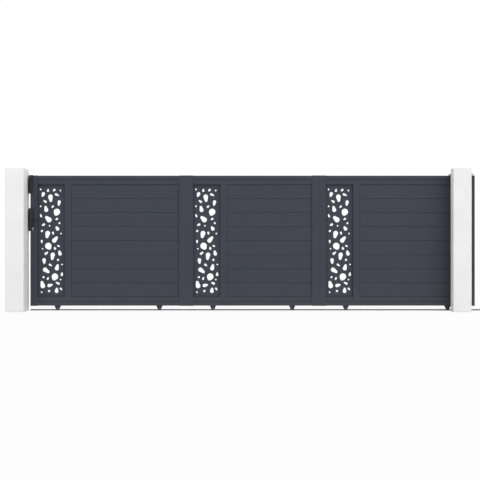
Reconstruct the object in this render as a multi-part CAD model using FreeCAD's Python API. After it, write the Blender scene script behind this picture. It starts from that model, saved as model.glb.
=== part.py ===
import FreeCAD, Part
import math
import os

# Sliding driveway gate, in millimetres.
# The origin is the centre of the left pillar's foot, at ground level.
# +X runs along the gate towards the side it opens to, +Y away from the street, +Z up.

V = FreeCAD.Vector

# Pillars and the passage between them. The left one is deeper and reaches past the back of the leaf.
PILLAR_WIDTH = 195.0
PILLAR_ABOVE_LEAF = 70.0
RIGHT_PILLAR_DEPTH = 150.0
PILLAR_BEHIND_LEAF = 30.0
PILLAR_EDGE = 4.0
PASSAGE = 4500.0

# Leaf: three modules, each with a pierced sheet and a stack of boards
LEAF_THICKNESS = 60.0
LEAF_TO_RECEIVER = 9.2
LEAF_OVERLAP = 269.7
GROUND_CLEARANCE = 39.0
PROFILE_WALL = 3.0
PROFILE_EDGE = 1.2
STILE_WIDTH = 75.0
MIDDLE_STILE_WIDTH = 68.0
PIERCED_WIDTH = 290.0
MIDDLE_SLAT_LENGTH = 910.0
RAIL_FLUSH_BAND = 39.0
RAIL_RECESSED_BAND = 54.0
RAIL_RECESS = 6.0
RAIL_GROOVE_WIDTH = 4.0
RAIL_GROOVE_DEPTH = 2.5
SHEET_THICKNESS = 3.0

# Boards with a tongue on top and a groove below
SLAT_COUNT = 8
SLAT_HEIGHT = 150.0
SLAT_THICKNESS = 34.0
SLAT_WALL = 2.0
SLAT_CHAMFER = 2.5
SLAT_JOINT = 0.4
TONGUE_WIDTH = 8.0
TONGUE_HEIGHT = 6.0

# Caps on the open ends of the outer stiles
CAP_THICKNESS = 2.5
CAP_INSET = 0.3
CAP_PLUG_HEIGHT = 12.0
CAP_PLUG_GAP = 0.3

# Ground rail
RAIL_START_GAP = 28.5
RAIL_SECTIONS = 3
RAIL_SECTION_LENGTH = 3000.0
RAIL_BASE_WIDTH = 60.0
RAIL_BASE_THICKNESS = 5.0
RAIL_BEAD_RADIUS = 8.0
RAIL_HEIGHT = 15.0
ANCHOR_PAIRS = 4
ANCHOR_END = 150.0
ANCHOR_SPREAD = 44.0
ANCHOR_RADIUS = 4.5

# Wheels and their forks
WHEEL_INSET = 286.0
WHEEL_RADIUS = 24.0
WHEEL_WIDTH = 24.0
WHEEL_ABOVE_BASE = 5.0
WHEEL_TO_BEAD = 0.3
WHEEL_TO_CHEEK = 2.0
HUB_TO_CHEEK = 0.5
HUB_RADIUS = 9.0
AXLE_RADIUS = 5.0
AXLE_RUNNING_GAP = 0.1
AXLE_SEAT_GAP = 0.05
AXLE_OVERHANG = 3.0
CHEEK_THICKNESS = 3.5
CHEEK_TOP_HALF = 31.0
CHEEK_SHOULDER_HALF = 29.0
CHEEK_SHOULDER_RISE = 8.0
CHEEK_FOOT_HALF = 16.0
CHEEK_FOOT_DROP = 8.0
FORK_PLATE_LENGTH = 110.0
FORK_PLATE_WIDTH = 46.0
FORK_PLATE_THICKNESS = 4.0
FORK_SLOT_MARGIN = 3.0

# Top guide on the back of the right pillar
GUIDE_START = 6.5
GUIDE_PLATE_LENGTH = 235.0
GUIDE_PLATE_MARGIN = 12.0
GUIDE_PLATE_THICKNESS = 8.0
GUIDE_ABOVE_LEAF = 8.0
GUIDE_LEG_HEIGHT = 100.0
GUIDE_LEG_THICKNESS = 6.0
GUIDE_LEG_LENGTH = 170.0
SHELF_TO_LEAF = 8.0
ROLLER_RADIUS = 20.0
ROLLER_HEIGHT = 38.0
ROLLER_GAP = 5.0
ROLLER_TO_LEG = 9.0
ROLLER_END = 34.0
ROLLER_BOLT_RADIUS = 6.0
ROLLER_BOLT_GAP = 0.3
BOLT_HOLE_GAP = 0.25
BOLT_HEAD_RADIUS = 10.0
BOLT_HEAD_HEIGHT = 7.0

# Closing receiver and lock keeper on the left pillar
STANDOFF = 19.5
BRACKET_SHEET = 3.0
FIXING_FLANGE = 40.0
RECEIVER_HEIGHT = 194.0
RECEIVER_ABOVE_LEAF = 6.0
RECEIVER_LIP = 38.0
RECEIVER_GAP = 5.0
KEEPER_HEIGHT = 245.0
BOLT_SLOT_WIDTH = 20.0
BOLT_SLOT_HEIGHT = 60.0

# Lock
LOCK_BACKSET = 27.0
LEVER_BELOW_LEAF_TOP = 471.0
CYLINDER_DROP = 90.0
LOCK_PLATE_WIDTH = 38.0
LOCK_PLATE_HEIGHT = 245.0
LOCK_PLATE_THICKNESS = 3.0
LOCK_PLATE_FOOT = 4.5
LOCK_CASE_DEPTH = 52.0
LOCK_CASE_THICKNESS = 16.0
LOCK_CASE_HEIGHT = 180.0
LOCK_CASE_GAP = 0.3
FACE_PLATE_WIDTH = 24.0
FACE_PLATE_HEIGHT = 240.0
FACE_PLATE_THICKNESS = 3.0
SPINDLE_SIDE = 8.0
SPINDLE_GAP = 0.5
LEVER_NECK_RADIUS = 8.0
LEVER_NECK_GAP = 0.3
LEVER_PROJECTION = 43.0
LEVER_LENGTH = 108.0
LEVER_BAR_DEPTH = 11.0
LEVER_BAR_HEIGHT = 16.0
LEVER_BAR_EDGE = 3.6
CYLINDER_RADIUS = 8.5
CYLINDER_LEG_WIDTH = 10.0
CYLINDER_TOTAL_HEIGHT = 33.0
CYLINDER_PROJECTION = 3.0
CYLINDER_GAP = 0.3

# Pebble holes of the pierced sheet, the same in all three.
# Each is (across from the left stile, down from the top rail, length, width, direction of the narrow end).
PEBBLE_BORDER = 8.0
PEBBLE_TAPER = 0.6
PEBBLES = (
    (29, 52, 19, 17, 90),
    (107.5, 63, 33, 23, 80),
    (173, 60, 32, 24, 220),
    (240, 63.5, 18, 17, 90),
    (55, 107, 53, 36, 250),
    (135, 146, 80, 49, 276),
    (202, 109.5, 46, 25, 335),
    (76, 180.5, 40, 24, 145),
    (225.5, 198, 59, 34, 260),
    (29, 232, 20, 17, 90),
    (86.5, 261, 66, 42, 103),
    (158.5, 235.5, 31, 22, 50),
    (201, 296.5, 77, 68, 248),
    (32, 333, 36, 21, 108),
    (109.5, 368.5, 80, 54, 138),
    (201, 369, 31, 22, 210),
    (230, 412.5, 23, 20, 75),
    (58.5, 430, 37, 25, 208),
    (124.5, 440.5, 18, 16, 90),
    (206, 469, 50, 37, 122),
    (43, 496, 27, 22, 45),
    (101.5, 534.5, 79, 51, 258),
    (161.5, 520, 33, 22, 275),
    (247.5, 524, 18, 16, 0),
    (184, 587, 78, 47, 50),
    (41, 609.5, 35, 21, 270),
    (112.5, 660, 77, 69, 300),
    (220.5, 657.5, 29, 20, 335),
    (181.5, 682, 32, 24, 105),
    (49.5, 687, 17, 16, 270),
    (90, 734, 45, 26, 38),
    (233.5, 732, 56, 37, 105),
    (156, 767, 80, 47, 262),
    (66.5, 817.5, 61, 38, 274),
    (215, 805, 25, 23, 60),
    (133, 860, 38, 23, 325),
    (258.5, 854.5, 19, 15, 0),
    (205, 885, 68, 43, 76),
    (89.5, 919.5, 78, 46, 325),
    (256, 958.5, 40, 26, 85),
    (180, 988, 77, 69, 250),
    (59.5, 990.5, 24, 21, 210),
    (106.5, 1004, 33, 21, 70),
    (241.5, 1016, 18, 16, 0),
    (48.5, 1069, 79, 49, 103),
    (129, 1077, 57, 36, 14),
    (211.5, 1054.5, 44, 26, 152),
    (39.5, 1150, 21, 15, 95),
    (119, 1137.5, 27, 23, 45),
    (200, 1131, 57, 39, 85),
    (246.5, 1116, 33, 21, 310),
)

# How far a cutting solid reaches past the face that it cuts, and how much an edge may lean off an axis
CUT_MARGIN = 1.0
AXIS_LEAN = 0.01

# Places worked out from the sizes
LEAF_BEHIND_PILLAR = GUIDE_LEG_THICKNESS + ROLLER_TO_LEG + 2 * ROLLER_RADIUS + ROLLER_GAP
LEFT_PILLAR_DEPTH = RIGHT_PILLAR_DEPTH + LEAF_BEHIND_PILLAR + LEAF_THICKNESS + PILLAR_BEHIND_LEAF
FRONT = -LEFT_PILLAR_DEPTH / 2
LEFT_PILLAR_BACK = LEFT_PILLAR_DEPTH / 2
RIGHT_PILLAR_BACK = FRONT + RIGHT_PILLAR_DEPTH
INNER_FACE = PILLAR_WIDTH / 2
RIGHT_INNER_FACE = INNER_FACE + PASSAGE
WEB_NEAR = INNER_FACE + STANDOFF
WEB_FAR = WEB_NEAR + BRACKET_SHEET
LEAF_FRONT = RIGHT_PILLAR_BACK + LEAF_BEHIND_PILLAR
LEAF_BACK = LEAF_FRONT + LEAF_THICKNESS
LEAF_MIDDLE = (LEAF_FRONT + LEAF_BACK) / 2
LEAF_START = WEB_FAR + LEAF_TO_RECEIVER
LEAF_END = RIGHT_INNER_FACE + LEAF_OVERLAP
LEAF_BOTTOM = RAIL_HEIGHT + GROUND_CLEARANCE
RAIL_PROFILE_HEIGHT = RAIL_FLUSH_BAND + RAIL_RECESSED_BAND
INFILL_BOTTOM = LEAF_BOTTOM + RAIL_PROFILE_HEIGHT
INFILL_TOP = INFILL_BOTTOM + SLAT_COUNT * SLAT_HEIGHT
LEAF_TOP = INFILL_TOP + RAIL_PROFILE_HEIGHT
PILLAR_HEIGHT = LEAF_TOP + PILLAR_ABOVE_LEAF
UPRIGHTS_AND_SHEET = 2 * STILE_WIDTH + MIDDLE_STILE_WIDTH + PIERCED_WIDTH
OUTER_SLAT_LENGTH = (LEAF_END - LEAF_START - 3 * UPRIGHTS_AND_SHEET - MIDDLE_SLAT_LENGTH) / 2
SLAT_LENGTHS = (OUTER_SLAT_LENGTH, MIDDLE_SLAT_LENGTH, OUTER_SLAT_LENGTH)
RAIL_START = INNER_FACE + RAIL_START_GAP
WHEEL_AXLE_HEIGHT = RAIL_BASE_THICKNESS + WHEEL_ABOVE_BASE + WHEEL_RADIUS
LOCK_X = LEAF_START + LOCK_BACKSET
LEVER_HEIGHT = LEAF_TOP - LEVER_BELOW_LEAF_TOP
CYLINDER_HEIGHT = LEVER_HEIGHT - CYLINDER_DROP
CYLINDER_FOOT = CYLINDER_HEIGHT + CYLINDER_RADIUS - CYLINDER_TOTAL_HEIGHT
LOCK_PLATE_BOTTOM = CYLINDER_FOOT - LOCK_PLATE_FOOT


def block(x0, x1, y0, y1, z0, z1):
    return Part.makeBox(x1 - x0, y1 - y0, z1 - z0, V(x0, y0, z0))


def rod_y(x, z, radius, y0, y1):
    return Part.makeCylinder(radius, y1 - y0, V(x, y0, z), V(0, 1, 0))


def rod_z(x, y, radius, z0, z1):
    return Part.makeCylinder(radius, z1 - z0, V(x, y, z0), V(0, 0, 1))


def extrude_outline(points, along):
    """Solid between a closed outline and the same outline moved along a vector."""
    return Part.Face(Part.makePolygon(points + points[:1])).extrude(along)


def prism_x(outline, x0, x1):
    """Extrude an outline of (y, z) points along X."""
    return extrude_outline([V(x0, y, z) for y, z in outline], V(x1 - x0, 0, 0))


def prism_y(outline, y0, y1):
    """Extrude an outline of (x, z) points along Y."""
    return extrude_outline([V(x, y0, z) for x, z in outline], V(0, y1 - y0, 0))


def prism_z(outline, z0, z1):
    """Extrude an outline of (x, y) points along Z."""
    return extrude_outline([V(x, y, z0) for x, y in outline], V(0, 0, z1 - z0))


def edges_along(shape, axis):
    """Straight edges of a shape that run along the given axis."""
    found = []
    for edge in shape.Edges:
        run = edge.Vertexes[-1].Point - edge.Vertexes[0].Point
        if run.Length > 0 and run.cross(axis).Length < AXIS_LEAN * run.Length:
            found.append(edge)
    return found


def export(node, solids):
    shape = solids[0] if len(solids) == 1 else Part.makeCompound(solids)
    shape.exportStep("parts/" + node + ".step")


def pillar(x_middle, y0, y1):
    half = PILLAR_WIDTH / 2
    body = block(x_middle - half, x_middle + half, y0, y1, 0, PILLAR_HEIGHT)
    upper = [edge for edge in body.Edges if edge.CenterOfMass.z > PILLAR_EDGE]
    return body.makeChamfer(PILLAR_EDGE, upper)


def make_pillars():
    export("left_pillar", [pillar(0, FRONT, LEFT_PILLAR_BACK)])
    right_middle = RIGHT_INNER_FACE + PILLAR_WIDTH / 2
    export("right_pillar", [pillar(right_middle, FRONT, RIGHT_PILLAR_BACK)])


def rail_section(x0):
    """Base plate with a round bead on top, drilled in pairs beside the bead."""
    x1 = x0 + RAIL_SECTION_LENGTH
    half = RAIL_BASE_WIDTH / 2
    bead_axis = RAIL_HEIGHT - RAIL_BEAD_RADIUS
    base = block(x0, x1, LEAF_MIDDLE - half, LEAF_MIDDLE + half, 0, RAIL_BASE_THICKNESS)
    left = V(x0, LEAF_MIDDLE - RAIL_BEAD_RADIUS, bead_axis)
    right = V(x0, LEAF_MIDDLE + RAIL_BEAD_RADIUS, bead_axis)
    top = V(x0, LEAF_MIDDLE, RAIL_HEIGHT)
    root = RAIL_BASE_THICKNESS / 2
    outline = Part.Wire([
        Part.Arc(left, top, right).toShape(),
        Part.makeLine(right, V(x0, right.y, root)),
        Part.makeLine(V(x0, right.y, root), V(x0, left.y, root)),
        Part.makeLine(V(x0, left.y, root), left),
    ])
    bead = Part.Face(outline).extrude(V(x1 - x0, 0, 0))
    section = base.fuse(bead).removeSplitter()
    pitch = (RAIL_SECTION_LENGTH - 2 * ANCHOR_END) / (ANCHOR_PAIRS - 1)
    drills = []
    for pair in range(ANCHOR_PAIRS):
        x = x0 + ANCHOR_END + pair * pitch
        for side in (-1, 1):
            y = LEAF_MIDDLE + side * ANCHOR_SPREAD / 2
            drills.append(rod_z(x, y, ANCHOR_RADIUS, -CUT_MARGIN, RAIL_BASE_THICKNESS + CUT_MARGIN))
    return section.cut(Part.makeCompound(drills)).Solids[0]


def make_ground_rail():
    for number in range(RAIL_SECTIONS):
        x0 = RAIL_START + number * RAIL_SECTION_LENGTH
        export("rail_section_%d" % (number + 1), [rail_section(x0)])


def hollow_upright(x0, x1, y0, y1, z0, z1):
    """Rectangular aluminium tube that stands upright, open at both ends."""
    outer = block(x0, x1, y0, y1, z0, z1)
    outer = outer.makeFillet(PROFILE_EDGE, edges_along(outer, V(0, 0, 1)))
    wall = PROFILE_WALL
    inner = block(x0 + wall, x1 - wall, y0 + wall, y1 - wall, z0 - CUT_MARGIN, z1 + CUT_MARGIN)
    return outer.cut(inner)


def both_faces(front_points):
    """Closed outline from (depth behind the front face, z) points and their mirror on the back face."""
    front = [(LEAF_FRONT + depth, z) for depth, z in front_points]
    back = [(LEAF_BACK - depth, z) for depth, z in reversed(front_points)]
    return front + back


def rail_profile(x0, x1, z_outer, direction):
    """Hollow stepped rail that starts at the leaf's edge z_outer and grows in direction.

    It is as deep as the leaf to the step, where a shadow groove runs, and set back from there on.
    """
    wall = PROFILE_WALL
    z_step = z_outer + direction * RAIL_FLUSH_BAND
    z_groove = z_step + direction * RAIL_GROOVE_WIDTH
    z_inner = z_outer + direction * RAIL_PROFILE_HEIGHT
    groove_floor = RAIL_RECESS + RAIL_GROOVE_DEPTH
    outer = prism_x(both_faces([
        (0, z_outer), (0, z_step), (groove_floor, z_step), (groove_floor, z_groove),
        (RAIL_RECESS, z_groove), (RAIL_RECESS, z_inner),
    ]), x0, x1)
    hollow_step = z_step - direction * wall
    hollow = prism_x(both_faces([
        (wall, z_outer + direction * wall), (wall, hollow_step),
        (groove_floor + wall, hollow_step), (groove_floor + wall, z_inner - direction * wall),
    ]), x0 - CUT_MARGIN, x1 + CUT_MARGIN)
    return outer.cut(hollow)


def module_starts():
    starts = []
    x = LEAF_START
    for length in SLAT_LENGTHS:
        starts.append(x)
        x += UPRIGHTS_AND_SHEET + length
    return starts, x


def wheel_places():
    """X of every wheel: one near each end of every module."""
    starts, leaf_end = module_starts()
    ends = starts[1:] + [leaf_end]
    places = []
    for start, end in zip(starts, ends):
        places += [start + WHEEL_INSET, end - WHEEL_INSET]
    return places


def cheek_inside():
    return WHEEL_WIDTH / 2 + WHEEL_TO_CHEEK


def cheek_outside():
    return cheek_inside() + CHEEK_THICKNESS


def fork_slot(x):
    """Opening in the bottom rail's underside that the fork's cheeks pass through."""
    half_x = CHEEK_TOP_HALF + FORK_SLOT_MARGIN
    half_y = cheek_outside() + FORK_SLOT_MARGIN / 2
    return block(x - half_x, x + half_x, LEAF_MIDDLE - half_y, LEAF_MIDDLE + half_y,
                 LEAF_BOTTOM - CUT_MARGIN, LEAF_BOTTOM + PROFILE_WALL + CUT_MARGIN)


def pebble(x, z, length, width, direction):
    """Outline of one hole: the outside of a large and a small circle, joined by straight flanks."""
    large = width / 2
    small = large * PEBBLE_TAPER
    spread = length - large - small
    if spread <= large - small:
        circle = Part.Circle(V(x, 0, z), V(0, 1, 0), (length + width) / 4)
        return Part.Wire([circle.toShape()])
    heading = math.radians(direction)
    along = V(math.cos(heading), 0, math.sin(heading))
    middle = V(x, 0, z)
    large_centre = middle - along * (length / 2 - large)
    small_centre = middle + along * (length / 2 - small)
    lean = math.acos((large - small) / spread)

    def on_circle(centre, radius, angle):
        return centre + V(math.cos(angle), 0, math.sin(angle)) * radius

    large_up = on_circle(large_centre, large, heading + lean)
    large_down = on_circle(large_centre, large, heading - lean)
    small_up = on_circle(small_centre, small, heading + lean)
    small_down = on_circle(small_centre, small, heading - lean)
    large_back = on_circle(large_centre, large, heading + math.pi)
    small_tip = on_circle(small_centre, small, heading)
    return Part.Wire([
        Part.Arc(large_up, large_back, large_down).toShape(),
        Part.makeLine(large_down, small_down),
        Part.Arc(small_down, small_tip, small_up).toShape(),
        Part.makeLine(small_up, large_up),
    ])


def pierced_sheet(x0):
    """Sheet with every pebble hole that leaves the border whole."""
    y0 = LEAF_MIDDLE - SHEET_THICKNESS / 2
    y1 = LEAF_MIDDLE + SHEET_THICKNESS / 2
    sheet = block(x0, x0 + PIERCED_WIDTH, y0, y1, INFILL_BOTTOM, INFILL_TOP)
    cutters = []
    for across, down, length, width, direction in PEBBLES:
        reach = length / 2 + PEBBLE_BORDER
        if across + reach > PIERCED_WIDTH or down + reach > INFILL_TOP - INFILL_BOTTOM:
            continue
        outline = pebble(x0 + across, INFILL_TOP - down, length, width, direction)
        outline.translate(V(0, y0 - CUT_MARGIN, 0))
        cutters.append(Part.Face(outline).extrude(V(0, SHEET_THICKNESS + 2 * CUT_MARGIN, 0)))
    return sheet.cut(Part.makeCompound(cutters)).Solids[0]


def slat(x0, x1, row):
    """Hollow board with bevelled long edges. A tongue enters the board above, which has a groove for it."""
    y0 = LEAF_MIDDLE - SLAT_THICKNESS / 2
    y1 = LEAF_MIDDLE + SLAT_THICKNESS / 2
    low = INFILL_BOTTOM + row * SLAT_HEIGHT + SLAT_JOINT / 2
    high = low + SLAT_HEIGHT - SLAT_JOINT
    bevel = SLAT_CHAMFER
    board = prism_x([
        (y0 + bevel, low), (y1 - bevel, low), (y1, low + bevel), (y1, high - bevel),
        (y1 - bevel, high), (y0 + bevel, high), (y0, high - bevel), (y0, low + bevel),
    ], x0, x1)
    half = TONGUE_WIDTH / 2
    hollow_low = low + SLAT_WALL + bevel
    if row > 0:
        groove_half = half + SLAT_JOINT
        groove_top = low + TONGUE_HEIGHT
        board = board.cut(block(x0 - CUT_MARGIN, x1 + CUT_MARGIN, LEAF_MIDDLE - groove_half,
                                LEAF_MIDDLE + groove_half, low - CUT_MARGIN, groove_top))
        hollow_low = groove_top + SLAT_WALL
    if row < SLAT_COUNT - 1:
        board = board.fuse(block(x0, x1, LEAF_MIDDLE - half, LEAF_MIDDLE + half, high, high + TONGUE_HEIGHT))
    hollow = block(x0 - CUT_MARGIN, x1 + CUT_MARGIN, y0 + SLAT_WALL, y1 - SLAT_WALL,
                   hollow_low, high - SLAT_WALL - bevel)
    return board.cut(hollow).removeSplitter().Solids[0]


def lock_case_heights():
    middle = (LEVER_HEIGHT + CYLINDER_HEIGHT) / 2
    return middle - LOCK_CASE_HEIGHT / 2, middle + LOCK_CASE_HEIGHT / 2


def cylinder_shape(extra, y0, y1):
    """Profile cylinder: a round barrel with a narrow leg below it, grown by extra all round."""
    leg_half = CYLINDER_LEG_WIDTH / 2 + extra
    barrel = rod_y(LOCK_X, CYLINDER_HEIGHT, CYLINDER_RADIUS + extra, y0, y1)
    leg = block(LOCK_X - leg_half, LOCK_X + leg_half, y0, y1, CYLINDER_FOOT - extra, CYLINDER_HEIGHT)
    return barrel.fuse(leg).removeSplitter()


def lock_pockets():
    """Cuts in the first stile for the lock case, the spindle and the cylinder."""
    gap = LOCK_CASE_GAP
    half_y = LOCK_CASE_THICKNESS / 2 + gap
    z0, z1 = lock_case_heights()
    y0 = LEAF_FRONT - CUT_MARGIN
    y1 = LEAF_BACK + CUT_MARGIN
    pocket = block(LEAF_START - CUT_MARGIN, LEAF_START + PROFILE_WALL + CUT_MARGIN,
                   LEAF_MIDDLE - half_y, LEAF_MIDDLE + half_y, z0 - gap, z1 + gap)
    spindle = rod_y(LOCK_X, LEVER_HEIGHT, LEVER_NECK_RADIUS + LEVER_NECK_GAP, y0, y1)
    return [pocket, spindle, cylinder_shape(CYLINDER_GAP, y0, y1)]


def stile_cap(x0, z_end, direction):
    """Cap on one end of an outer stile, with a plug that enters the tube."""
    x1 = x0 + STILE_WIDTH
    outside = z_end + direction * CAP_THICKNESS
    inside = z_end - direction * CAP_PLUG_HEIGHT
    plug = PROFILE_WALL + CAP_PLUG_GAP
    rim = block(x0 + CAP_INSET, x1 - CAP_INSET, LEAF_FRONT + CAP_INSET, LEAF_BACK - CAP_INSET,
                min(z_end, outside), max(z_end, outside))
    core = block(x0 + plug, x1 - plug, LEAF_FRONT + plug, LEAF_BACK - plug,
                 min(z_end, inside), max(z_end, inside))
    return rim.fuse(core).removeSplitter().Solids[0]


def make_modules():
    starts, leaf_end = module_starts()
    ends = starts[1:] + [leaf_end]
    slots = [fork_slot(x) for x in wheel_places()]
    caps = []
    for number, (start, end) in enumerate(zip(starts, ends), 1):
        panel_start = start + STILE_WIDTH
        panel_end = panel_start + PIERCED_WIDTH
        slats_start = panel_end + MIDDLE_STILE_WIDTH
        slats_end = end - STILE_WIDTH
        left = hollow_upright(start, panel_start, LEAF_FRONT, LEAF_BACK, LEAF_BOTTOM, LEAF_TOP)
        if number == 1:
            left = left.cut(Part.makeCompound(lock_pockets()))
        right = hollow_upright(slats_end, end, LEAF_FRONT, LEAF_BACK, LEAF_BOTTOM, LEAF_TOP)
        middle = hollow_upright(panel_end, slats_start, LEAF_FRONT + RAIL_RECESS,
                                LEAF_BACK - RAIL_RECESS, INFILL_BOTTOM, INFILL_TOP)
        top = rail_profile(panel_start, slats_end, LEAF_TOP, -1)
        bottom = rail_profile(panel_start, slats_end, LEAF_BOTTOM, 1)
        bottom = bottom.cut(Part.makeCompound(slots))
        for x in (start, slats_end):
            caps += [stile_cap(x, LEAF_TOP, 1), stile_cap(x, LEAF_BOTTOM, -1)]
        export("stile_left_%d" % number, left.Solids)
        export("stile_middle_%d" % number, middle.Solids)
        export("stile_right_%d" % number, right.Solids)
        export("top_rail_%d" % number, top.Solids)
        export("bottom_rail_%d" % number, bottom.Solids)
        export("pierced_panel_%d" % number, [pierced_sheet(panel_start)])
        export("slats_%d" % number, [slat(slats_start, slats_end, row) for row in range(SLAT_COUNT)])
    export("stile_caps", caps)


def wheel(x):
    """Grooved wheel whose groove runs over the rail's bead, turned about its axle."""
    half = WHEEL_WIDTH / 2
    hub_half = cheek_inside() - HUB_TO_CHEEK
    bore = AXLE_RADIUS + AXLE_RUNNING_GAP
    groove = RAIL_BEAD_RADIUS + WHEEL_TO_BEAD
    bead_axis = WHEEL_AXLE_HEIGHT - (RAIL_HEIGHT - RAIL_BEAD_RADIUS)
    outline = [(bore, -hub_half), (HUB_RADIUS, -hub_half), (HUB_RADIUS, -half), (WHEEL_RADIUS, -half),
               (WHEEL_RADIUS, half), (HUB_RADIUS, half), (HUB_RADIUS, hub_half), (bore, hub_half)]
    points = [V(x + radius, LEAF_MIDDLE + y, WHEEL_AXLE_HEIGHT) for radius, y in outline]
    section = Part.Face(Part.makePolygon(points + points[:1]))
    axis = V(x, LEAF_MIDDLE, WHEEL_AXLE_HEIGHT)
    blank = section.revolve(axis, V(0, 1, 0), 360)
    ring = Part.makeTorus(bead_axis, groove, axis, V(0, 1, 0))
    return blank.cut(ring).Solids[0]


def fork(x):
    """Slotted plate inside the bottom rail with a cheek down each side of the wheel."""
    plate_bottom = LEAF_BOTTOM + PROFILE_WALL
    plate_top = plate_bottom + FORK_PLATE_THICKNESS
    half = FORK_PLATE_LENGTH / 2
    half_y = FORK_PLATE_WIDTH / 2
    plate = block(x - half, x + half, LEAF_MIDDLE - half_y, LEAF_MIDDLE + half_y, plate_bottom, plate_top)
    slot_half = WHEEL_RADIUS + FORK_SLOT_MARGIN
    slot = block(x - slot_half, x + slot_half, LEAF_MIDDLE - cheek_inside(), LEAF_MIDDLE + cheek_inside(),
                 plate_bottom - CUT_MARGIN, plate_top + CUT_MARGIN)
    shoulder = WHEEL_AXLE_HEIGHT + CHEEK_SHOULDER_RISE
    foot = WHEEL_AXLE_HEIGHT - CHEEK_FOOT_DROP
    outline = [
        (x - CHEEK_TOP_HALF, plate_top), (x + CHEEK_TOP_HALF, plate_top),
        (x + CHEEK_TOP_HALF, plate_bottom), (x + CHEEK_SHOULDER_HALF, shoulder),
        (x + CHEEK_FOOT_HALF, foot), (x - CHEEK_FOOT_HALF, foot),
        (x - CHEEK_SHOULDER_HALF, shoulder), (x - CHEEK_TOP_HALF, plate_bottom),
    ]
    body = plate.cut(slot)
    for side in (-1, 1):
        near = LEAF_MIDDLE + side * cheek_inside()
        far = LEAF_MIDDLE + side * cheek_outside()
        body = body.fuse(prism_y(outline, min(near, far), max(near, far)))
    reach = cheek_outside() + CUT_MARGIN
    hole = rod_y(x, WHEEL_AXLE_HEIGHT, AXLE_RADIUS + AXLE_SEAT_GAP, LEAF_MIDDLE - reach, LEAF_MIDDLE + reach)
    return body.cut(hole).removeSplitter().Solids[0]


def make_wheels():
    places = wheel_places()
    reach = cheek_outside() + AXLE_OVERHANG
    y0 = LEAF_MIDDLE - reach
    y1 = LEAF_MIDDLE + reach
    axles = [rod_y(x, WHEEL_AXLE_HEIGHT, AXLE_RADIUS, y0, y1) for x in places]
    export("wheel_forks", [fork(x) for x in places])
    export("wheel_axles", axles)
    for number, x in enumerate(places, 1):
        export("wheel_%d" % number, [wheel(x)])


def make_top_guide():
    """Bracket behind the right pillar, and the plate on it that holds two rollers each side of the leaf."""
    plate_bottom = LEAF_TOP + GUIDE_ABOVE_LEAF
    plate_top = plate_bottom + GUIDE_PLATE_THICKNESS
    shelf_bottom = plate_bottom - GUIDE_LEG_THICKNESS
    x0 = RIGHT_INNER_FACE + GUIDE_START
    x1 = x0 + GUIDE_PLATE_LENGTH
    back = LEAF_BACK + ROLLER_GAP + 2 * ROLLER_RADIUS + GUIDE_PLATE_MARGIN
    leg_end = x0 + GUIDE_LEG_LENGTH
    leg = block(x0, leg_end, RIGHT_PILLAR_BACK, RIGHT_PILLAR_BACK + GUIDE_LEG_THICKNESS,
                plate_bottom - GUIDE_LEG_HEIGHT, plate_bottom)
    shelf = block(x0, leg_end, RIGHT_PILLAR_BACK, LEAF_FRONT - SHELF_TO_LEAF, shelf_bottom, plate_bottom)
    bracket = leg.fuse(shelf).removeSplitter()
    plate = block(x0, x1, RIGHT_PILLAR_BACK, back, plate_bottom, plate_top)
    rollers = []
    bolts = []
    for x in (x0 + ROLLER_END, x1 - ROLLER_END):
        for side, ceiling in ((-1, shelf_bottom), (1, plate_bottom)):
            y = LEAF_MIDDLE + side * (LEAF_THICKNESS / 2 + ROLLER_GAP + ROLLER_RADIUS)
            hole = rod_z(x, y, ROLLER_BOLT_RADIUS + BOLT_HOLE_GAP, shelf_bottom - CUT_MARGIN,
                         plate_top + CUT_MARGIN)
            bracket = bracket.cut(hole)
            plate = plate.cut(hole)
            roller_top = ceiling - ROLLER_BOLT_GAP
            roller_bottom = roller_top - ROLLER_HEIGHT
            bore = rod_z(x, y, ROLLER_BOLT_RADIUS + ROLLER_BOLT_GAP, roller_bottom - CUT_MARGIN,
                         roller_top + CUT_MARGIN)
            rollers.append(rod_z(x, y, ROLLER_RADIUS, roller_bottom, roller_top).cut(bore))
            foot_top = roller_bottom - ROLLER_BOLT_GAP
            foot_bottom = foot_top - BOLT_HEAD_HEIGHT
            shank = rod_z(x, y, ROLLER_BOLT_RADIUS, foot_bottom, plate_top)
            head = rod_z(x, y, BOLT_HEAD_RADIUS, plate_top, plate_top + BOLT_HEAD_HEIGHT)
            foot = rod_z(x, y, BOLT_HEAD_RADIUS, foot_bottom, foot_top)
            bolts.append(shank.fuse(head).fuse(foot).removeSplitter().Solids[0])
    export("guide_bracket", bracket.Solids)
    export("guide_plate", plate.Solids)
    export("guide_rollers", rollers)
    export("guide_roller_bolts", bolts)


def fixing_flange():
    """Corners of the flange on the pillar's back face, from the web's far side round to its near side."""
    flange_end = INNER_FACE - FIXING_FLANGE
    flange_back = LEFT_PILLAR_BACK + BRACKET_SHEET
    return [
        (WEB_FAR, flange_back), (flange_end, flange_back),
        (flange_end, LEFT_PILLAR_BACK), (WEB_NEAR, LEFT_PILLAR_BACK),
    ]


def make_closing_receiver():
    """Bent sheet around the leaf's end, whose web runs on to a flange behind the pillar."""
    lip_end = WEB_FAR + RECEIVER_LIP
    front_in = LEAF_FRONT - RECEIVER_GAP
    front_out = front_in - BRACKET_SHEET
    back_in = LEAF_BACK + RECEIVER_GAP
    back_out = back_in + BRACKET_SHEET
    z1 = LEAF_TOP + RECEIVER_ABOVE_LEAF
    z0 = z1 - RECEIVER_HEIGHT
    channel = prism_z([
        (WEB_NEAR, front_out), (lip_end, front_out), (lip_end, front_in), (WEB_FAR, front_in),
        (WEB_FAR, back_in), (lip_end, back_in), (lip_end, back_out), (WEB_FAR, back_out),
    ] + fixing_flange(), z0, z1)
    export("closing_receiver", channel.Solids)


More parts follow.
